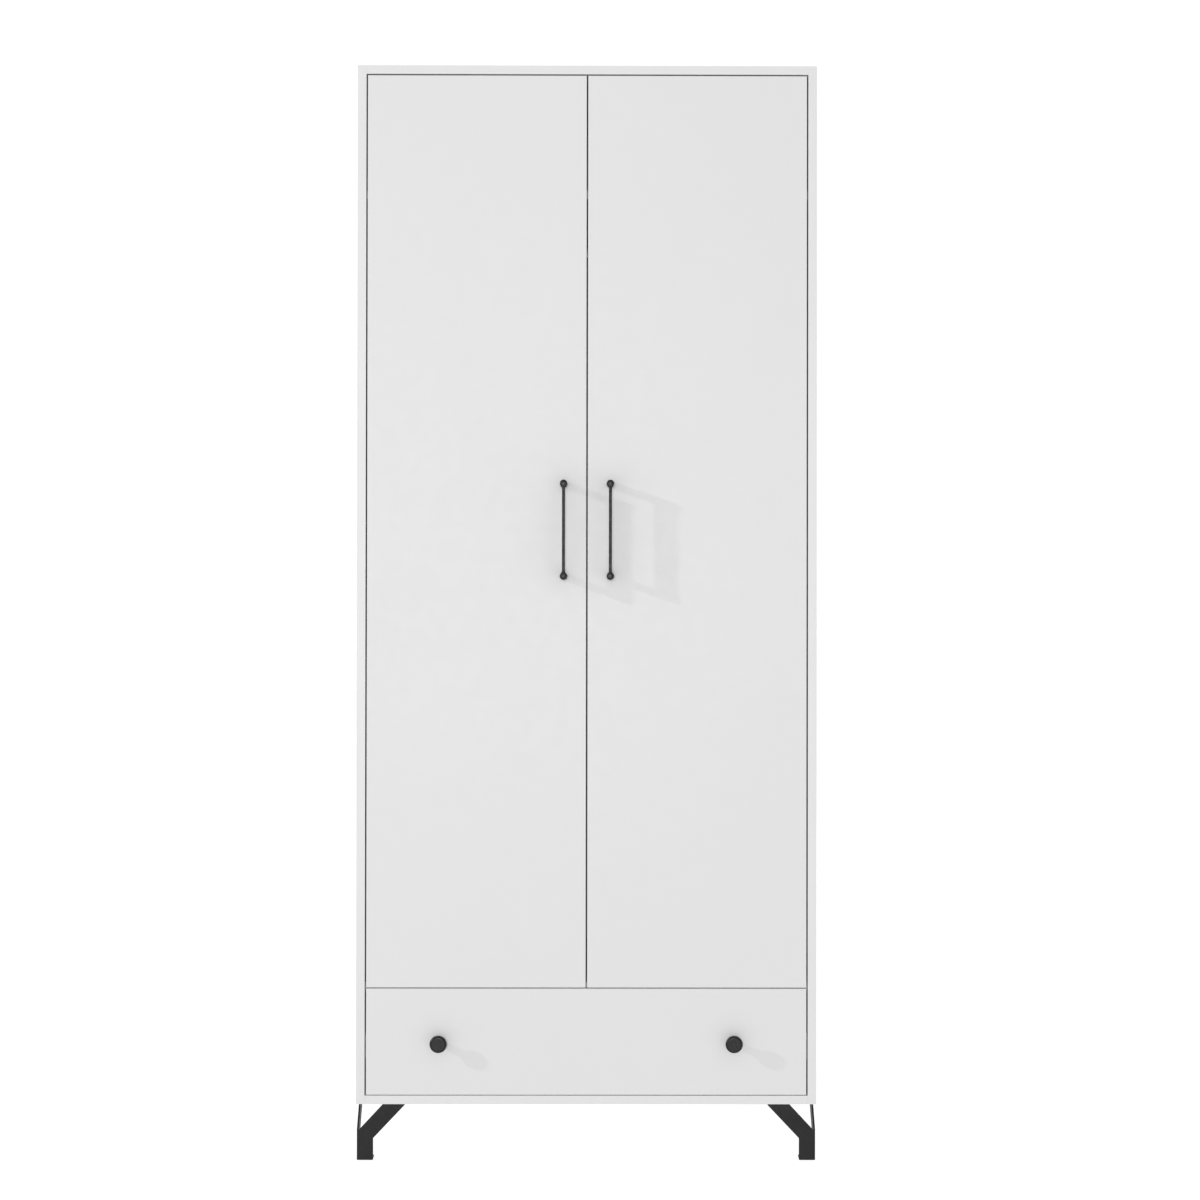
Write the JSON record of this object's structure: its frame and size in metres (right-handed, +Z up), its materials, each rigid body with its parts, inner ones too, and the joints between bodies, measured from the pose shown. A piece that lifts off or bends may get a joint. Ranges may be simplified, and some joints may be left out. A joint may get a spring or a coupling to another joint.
{
  "type": "wardrobe",
  "caption": "Tall white wardrobe with inset doors over a full-width drawer, black bar handles and knobs, on angled black sheet-steel corner legs.",
  "frame": {"origin": "on the floor, under the middle of the whole wardrobe with its handles", "axes": "+Z up, -Y towards the person who opens the doors, +X to that person's right"},
  "size_m": [0.8, 0.555, 1.905],
  "materials": {
    "white_board": "satin white melamine on chipboard, edges banded in the same white",
    "drawer_board": "matt white foil on chipboard",
    "hardboard": "white-printed hardboard, brown and rough on the back",
    "white_plastic": "matt white",
    "black_steel": "matt black powder coat with a fine texture",
    "black_handle": "smooth satin black coat",
    "black_plastic": "matt black",
    "chrome_fittings": "bright chrome",
    "zinc_steel": "zinc plated, satin",
    "nickel_steel": "nickel plated, satin"
  },
  "bodies": {
    "carcass": {"side_panel_left": "white_board", "side_panel_right": "white_board", "top_panel": "white_board", "bottom_panel": "white_board", "fixed_shelf": "white_board", "hat_shelf": "white_board", "back_panel_left": "hardboard", "back_panel_right": "hardboard", "back_joint_strip": "white_plastic", "hanging_rail": "chrome_fittings", "rail_socket_left": "chrome_fittings", "rail_socket_right": "chrome_fittings", "leg_front_left": "black_steel", "leg_front_right": "black_steel", "leg_rear_left": "black_steel", "leg_rear_right": "black_steel", "glide_front_left": "black_plastic", "glide_front_right": "black_plastic", "glide_rear_left": "black_plastic", "glide_rear_right": "black_plastic", "runner_outer_left": "zinc_steel", "runner_outer_right": "zinc_steel", "hinge_arm_left_low": "nickel_steel", "hinge_arm_left_middle": "nickel_steel", "hinge_arm_left_high": "nickel_steel", "hinge_arm_right_low": "nickel_steel", "hinge_arm_right_middle": "nickel_steel", "hinge_arm_right_high": "nickel_steel"},
    "door_left": {"door_left": "white_board", "handle_grip_left": "black_handle", "handle_post_left_upper": "black_handle", "handle_post_left_lower": "black_handle", "hinge_cup_left_low": "nickel_steel", "hinge_cup_left_middle": "nickel_steel", "hinge_cup_left_high": "nickel_steel"},
    "hinge_links_left": {"hinge_link_left_low": "nickel_steel", "hinge_link_left_middle": "nickel_steel", "hinge_link_left_high": "nickel_steel"},
    "door_right": {"door_right": "white_board", "handle_grip_right": "black_handle", "handle_post_right_upper": "black_handle", "handle_post_right_lower": "black_handle", "hinge_cup_right_low": "nickel_steel", "hinge_cup_right_middle": "nickel_steel", "hinge_cup_right_high": "nickel_steel"},
    "hinge_links_right": {"hinge_link_right_low": "nickel_steel", "hinge_link_right_middle": "nickel_steel", "hinge_link_right_high": "nickel_steel"},
    "drawer": {"drawer_front": "white_board", "drawer_side_left": "drawer_board", "drawer_side_right": "drawer_board", "drawer_back": "drawer_board", "drawer_bottom": "hardboard", "knob_left": "black_handle", "knob_right": "black_handle", "runner_inner_left": "zinc_steel", "runner_inner_right": "zinc_steel"},
    "runner_middle_left": {"runner_middle_left": "zinc_steel"},
    "runner_middle_right": {"runner_middle_right": "zinc_steel"}
  },
  "joints": [
    {"name": "door_left_swing", "type": "hinge", "parent": "carcass", "child": "door_left", "pos_m": [-0.3825, -0.2425, 1.0939], "axis": [0, 0, -1], "range_deg": [0, 95]},
    {"name": "hinge_links_left_swing", "type": "hinge", "parent": "carcass", "child": "hinge_links_left", "pos_m": [-0.362, -0.2325, 1.0939], "axis": [0, 0, -1], "range_deg": [0, 99]},
    {"name": "door_right_swing", "type": "hinge", "parent": "carcass", "child": "door_right", "pos_m": [0.3825, -0.2425, 1.0939], "axis": [0, 0, 1], "range_deg": [0, 95]},
    {"name": "hinge_links_right_swing", "type": "hinge", "parent": "carcass", "child": "hinge_links_right", "pos_m": [0.362, -0.2325, 1.0939], "axis": [0, 0, 1], "range_deg": [0, 99]},
    {"name": "drawer_slide", "type": "slide", "parent": "carcass", "child": "drawer", "axis": [0, -1, 0], "range_m": [0, 0.4]},
    {"name": "runner_middle_left_slide", "type": "slide", "parent": "carcass", "child": "runner_middle_left", "axis": [0, -1, 0], "range_m": [0, 0.2]},
    {"name": "runner_middle_right_slide", "type": "slide", "parent": "carcass", "child": "runner_middle_right", "axis": [0, -1, 0], "range_m": [0, 0.2]}
  ],
  "couplings": [
    {"joint": "hinge_links_left_swing", "follows": "door_left_swing", "ratio": 1.042},
    {"joint": "hinge_links_right_swing", "follows": "door_right_swing", "ratio": 1.042},
    {"joint": "runner_middle_left_slide", "follows": "drawer_slide", "ratio": 0.5},
    {"joint": "runner_middle_right_slide", "follows": "drawer_slide", "ratio": 0.5}
  ]
}
